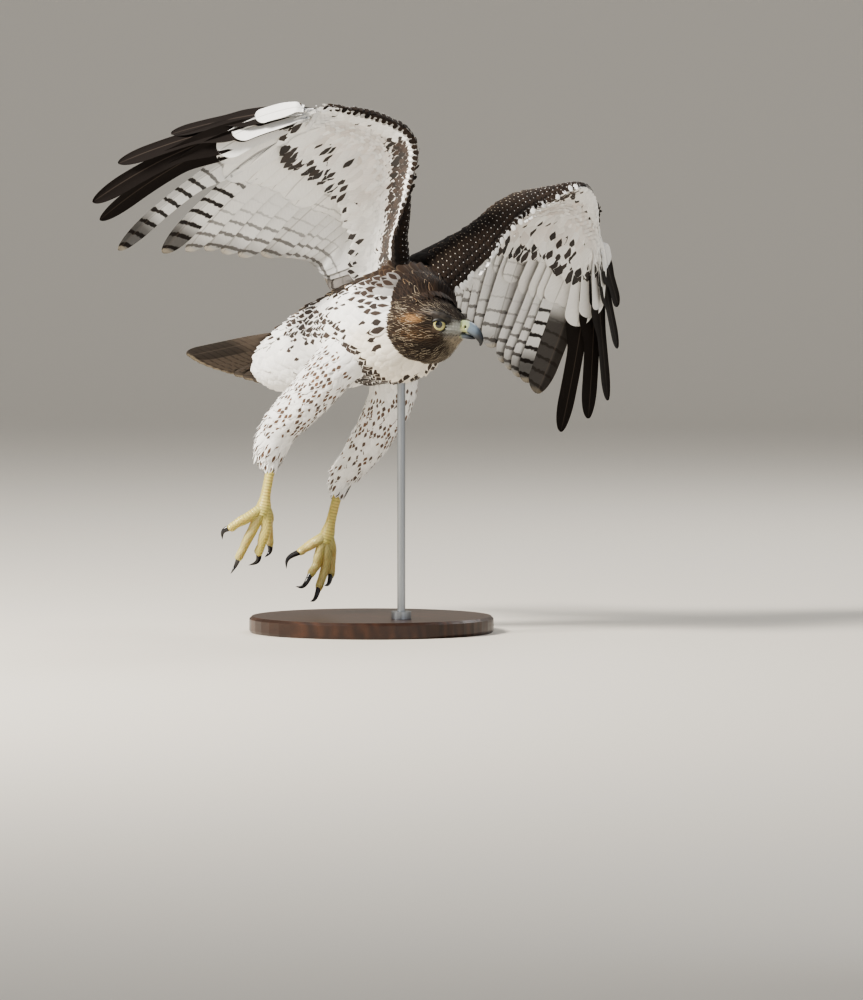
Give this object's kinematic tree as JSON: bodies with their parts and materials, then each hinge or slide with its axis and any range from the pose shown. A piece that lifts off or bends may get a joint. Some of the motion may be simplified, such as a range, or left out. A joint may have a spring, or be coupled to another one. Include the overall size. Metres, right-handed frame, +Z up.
{
  "type": "display model of a flying hawk",
  "caption": "Life-size still model of a red-tailed hawk taking off with wings raised and legs trailing, on a round display base with one rod.",
  "frame": {"origin": "centre of the underside of the round display base", "axes": "+Z up, out of the base's top; +X the way the bird heads; +Y the bird's left"},
  "size_m": [0.4835, 0.6573, 0.5861],
  "materials": {
    "pale_mottled_plumage": "white plumage with dark brown drops, matt",
    "white_plumage": "white plumage with small brown marks, matt",
    "brown_plumage": "dark brown plumage with pale streaks, matt",
    "barred_plumage": "grey-brown feathers with dark bars, matt",
    "iris": "pale yellow iris under a clear cornea",
    "bill_horn": "blue-grey horn with a dark tip and a greenish-yellow cere",
    "claw_horn": "black horn, glossy",
    "yellow_scales": "pale yellow scaled skin",
    "dark_wood": "dark turned wood, satin varnish",
    "steel": "brushed steel"
  },
  "bodies": {
    "root": {"torso": "pale_mottled_plumage", "neck": "brown_plumage", "tail": "barred_plumage", "head": "brown_plumage", "eye_left": "iris", "eye_right": "iris", "bill_upper": "bill_horn", "bill_lower": "bill_horn", "wing_left_arm": "pale_mottled_plumage", "wing_left_hand": "barred_plumage", "wing_right_arm": "pale_mottled_plumage", "wing_right_hand": "barred_plumage", "leg_right_thigh": "white_plumage", "leg_right_tarsus": "yellow_scales", "leg_left_thigh": "white_plumage", "leg_left_tarsus": "yellow_scales", "stand_base": "dark_wood", "stand_collar": "steel", "stand_rod": "steel", "toe_right_1": "yellow_scales", "claw_right_1": "claw_horn", "toe_right_2": "yellow_scales", "claw_right_2": "claw_horn", "toe_right_3": "yellow_scales", "claw_right_3": "claw_horn", "toe_right_4": "yellow_scales", "claw_right_4": "claw_horn", "toe_left_1": "yellow_scales", "claw_left_1": "claw_horn", "toe_left_2": "yellow_scales", "claw_left_2": "claw_horn", "toe_left_3": "yellow_scales", "claw_left_3": "claw_horn", "toe_left_4": "yellow_scales", "claw_left_4": "claw_horn"}
  },
  "joints": []
}
